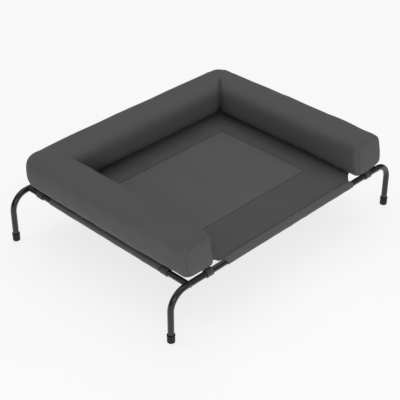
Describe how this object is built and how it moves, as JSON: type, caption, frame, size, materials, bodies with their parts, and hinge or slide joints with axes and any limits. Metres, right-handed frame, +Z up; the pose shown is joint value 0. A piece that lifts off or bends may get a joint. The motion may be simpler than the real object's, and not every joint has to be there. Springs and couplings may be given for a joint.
{
  "type": "raised dog cot",
  "caption": "Low raised pet cot: bent black steel tube frame, grey sling stretched on rail sleeves, and a loose U-shaped stuffed bolster open at the front.",
  "frame": {"origin": "on the floor, under the middle of the frame", "axes": "+X along the open front from left to right, +Y from the open front to the back, +Z up"},
  "size_m": [1.0066, 0.7275, 0.2885],
  "materials": {
    "tube_paint": "satin",
    "collar_plastic": "satin",
    "foot_rubber": "matte",
    "bolt_steel": "satin",
    "insert_steel": "satin",
    "sling_cloth": "matte",
    "mesh_cloth": "matte",
    "bolster_cloth": "matte",
    "stuffing": "matte"
  },
  "bodies": {
    "frame": {"leg_front_left": "tube_paint", "stub_front_left": "tube_paint", "foot_cap_front_left": "foot_rubber", "collar_front_left": "collar_plastic", "leg_front_right": "tube_paint", "stub_front_right": "tube_paint", "foot_cap_front_right": "foot_rubber", "collar_front_right": "collar_plastic", "leg_rear_left": "tube_paint", "stub_rear_left": "tube_paint", "foot_cap_rear_left": "foot_rubber", "collar_rear_left": "collar_plastic", "leg_rear_right": "tube_paint", "stub_rear_right": "tube_paint", "foot_cap_rear_right": "foot_rubber", "collar_rear_right": "collar_plastic", "collar_left_front": "collar_plastic", "collar_left_rear": "collar_plastic", "collar_right_front": "collar_plastic", "collar_right_rear": "collar_plastic", "front_rail": "tube_paint", "front_sleeve": "sling_cloth", "rear_rail": "tube_paint", "rear_sleeve": "sling_cloth", "left_rail": "tube_paint", "left_sleeve": "sling_cloth", "right_rail": "tube_paint", "right_sleeve": "sling_cloth", "corner_bolts": "bolt_steel", "stub_inserts": "insert_steel", "sling_border": "sling_cloth", "sling_center": "mesh_cloth"},
    "bolster": {"bolster_cover": "bolster_cloth", "left_end_panel": "bolster_cloth", "right_end_panel": "bolster_cloth", "left_core": "stuffing", "back_core": "stuffing", "right_core": "stuffing"}
  },
  "joints": [
    {"name": "bolster_lift", "type": "slide", "parent": "frame", "child": "bolster", "axis": [0, 0, 1], "range_m": [0, 0.15]}
  ]
}
